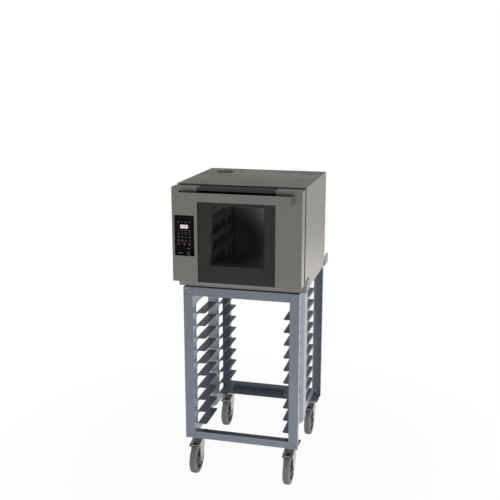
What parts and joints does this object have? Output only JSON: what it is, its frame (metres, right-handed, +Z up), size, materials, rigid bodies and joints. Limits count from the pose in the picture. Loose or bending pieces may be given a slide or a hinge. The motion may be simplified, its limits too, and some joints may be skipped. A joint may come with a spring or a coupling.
{
  "type": "electric convection oven",
  "caption": "Compact countertop convection oven with a drop-down glass door, resting on a wheeled stand that holds trays on side ledges.",
  "frame": {"origin": "middle of the whole product's plan at floor level", "axes": "+X to the user's right, +Y to the back, +Z up"},
  "size_m": [0.606, 0.788, 1.445],
  "materials": {
    "stand_paint": "semi-gloss blue grey powder coat",
    "casing_steel": "satin stainless sheet",
    "chamber_steel": "smooth stainless sheet",
    "plinth_dark": "matt dark",
    "zinc": "bright zinc plate",
    "fastener_steel": "plain",
    "tyre_grey": "matt grey elastic tread",
    "wheel_plastic": "matt",
    "outer_glass": "dark tinted safety glass",
    "inner_glass": "clear heat-proof glass",
    "gasket_rubber": "matt black silicone",
    "mineral_wool": "loose fibre",
    "control_glass": "gloss black touch surface",
    "board_green": "printed board",
    "black_plastic": "matt",
    "motor_metal": "cast",
    "heater_metal": "heat-stained tube"
  },
  "bodies": {
    "stand_and_oven": {"post_front_left": "stand_paint", "post_front_right": "stand_paint", "post_rear_left": "stand_paint", "post_rear_right": "stand_paint", "top_beam_front": "stand_paint", "top_beam_rear": "stand_paint", "bottom_beam_front": "stand_paint", "bottom_beam_rear": "stand_paint", "slide_panel_left": "stand_paint", "slide_panel_right": "stand_paint", "tray_ledges_left": "stand_paint", "tray_ledges_right": "stand_paint", "top_side_rails": "stand_paint", "corner_rivets": "fastener_steel", "caster_bolts": "fastener_steel", "casing_screws": "fastener_steel", "caster_plates": "zinc", "hinge_brackets": "zinc", "outer_shell": "casing_steel", "front_frame": "casing_steel", "back_panel": "casing_steel", "base_pan": "plinth_dark", "vent_dish": "plinth_dark", "chamber_liner": "chamber_steel", "tray_rack_left": "chamber_steel", "tray_rack_right": "chamber_steel", "fan_baffle": "chamber_steel", "vent_pipe": "chamber_steel", "insulation": "mineral_wool", "door_gasket": "gasket_rubber", "fan_motor": "motor_metal", "heating_element": "heater_metal", "temperature_probe": "heater_metal", "power_board": "board_green", "terminal_block": "black_plastic", "cable_gland": "black_plastic"},
    "fan": {"fan_impeller": "chamber_steel", "fan_shaft": "chamber_steel"},
    "door": {"door_cheeks": "casing_steel", "door_core": "plinth_dark", "door_inner_panel": "chamber_steel", "door_handle": "casing_steel", "door_outer_glass": "outer_glass", "door_inner_glass": "inner_glass", "hinge_pins": "zinc", "handle_screws": "fastener_steel", "control_panel": "control_glass", "control_board": "board_green"},
    "swivel_front_left": {"caster_fork_front_left": "zinc"},
    "wheel_front_left": {"tyre_front_left": "tyre_grey", "wheel_core_front_left": "wheel_plastic"},
    "swivel_front_right": {"caster_fork_front_right": "zinc"},
    "wheel_front_right": {"tyre_front_right": "tyre_grey", "wheel_core_front_right": "wheel_plastic"},
    "swivel_rear_left": {"caster_fork_rear_left": "zinc"},
    "wheel_rear_left": {"tyre_rear_left": "tyre_grey", "wheel_core_rear_left": "wheel_plastic"},
    "swivel_rear_right": {"caster_fork_rear_right": "zinc"},
    "wheel_rear_right": {"tyre_rear_right": "tyre_grey", "wheel_core_rear_right": "wheel_plastic"}
  },
  "joints": [
    {"name": "door_hinge", "type": "hinge", "parent": "stand_and_oven", "child": "door", "pos_m": [0, -0.294, 1.009], "axis": [1, 0, 0], "range_deg": [0, 90]},
    {"name": "fan_spin", "type": "hinge", "parent": "stand_and_oven", "child": "fan", "pos_m": [0.205, -0.027, 1.2145], "axis": [1, 0, 0], "continuous": true},
    {"name": "swivel_front_left", "type": "hinge", "parent": "stand_and_oven", "child": "swivel_front_left", "pos_m": [-0.232, -0.22, 0.18], "axis": [0, 0, 1], "continuous": true},
    {"name": "roll_front_left", "type": "hinge", "parent": "swivel_front_left", "child": "wheel_front_left", "pos_m": [-0.232, -0.255, 0.075], "axis": [1, 0, 0], "continuous": true},
    {"name": "swivel_front_right", "type": "hinge", "parent": "stand_and_oven", "child": "swivel_front_right", "pos_m": [0.232, -0.22, 0.18], "axis": [0, 0, 1], "continuous": true},
    {"name": "roll_front_right", "type": "hinge", "parent": "swivel_front_right", "child": "wheel_front_right", "pos_m": [0.232, -0.255, 0.075], "axis": [1, 0, 0], "continuous": true},
    {"name": "swivel_rear_left", "type": "hinge", "parent": "stand_and_oven", "child": "swivel_rear_left", "pos_m": [-0.232, 0.336, 0.18], "axis": [0, 0, 1], "continuous": true},
    {"name": "roll_rear_left", "type": "hinge", "parent": "swivel_rear_left", "child": "wheel_rear_left", "pos_m": [-0.232, 0.301, 0.075], "axis": [1, 0, 0], "continuous": true},
    {"name": "swivel_rear_right", "type": "hinge", "parent": "stand_and_oven", "child": "swivel_rear_right", "pos_m": [0.232, 0.336, 0.18], "axis": [0, 0, 1], "continuous": true},
    {"name": "roll_rear_right", "type": "hinge", "parent": "swivel_rear_right", "child": "wheel_rear_right", "pos_m": [0.232, 0.301, 0.075], "axis": [1, 0, 0], "continuous": true}
  ]
}
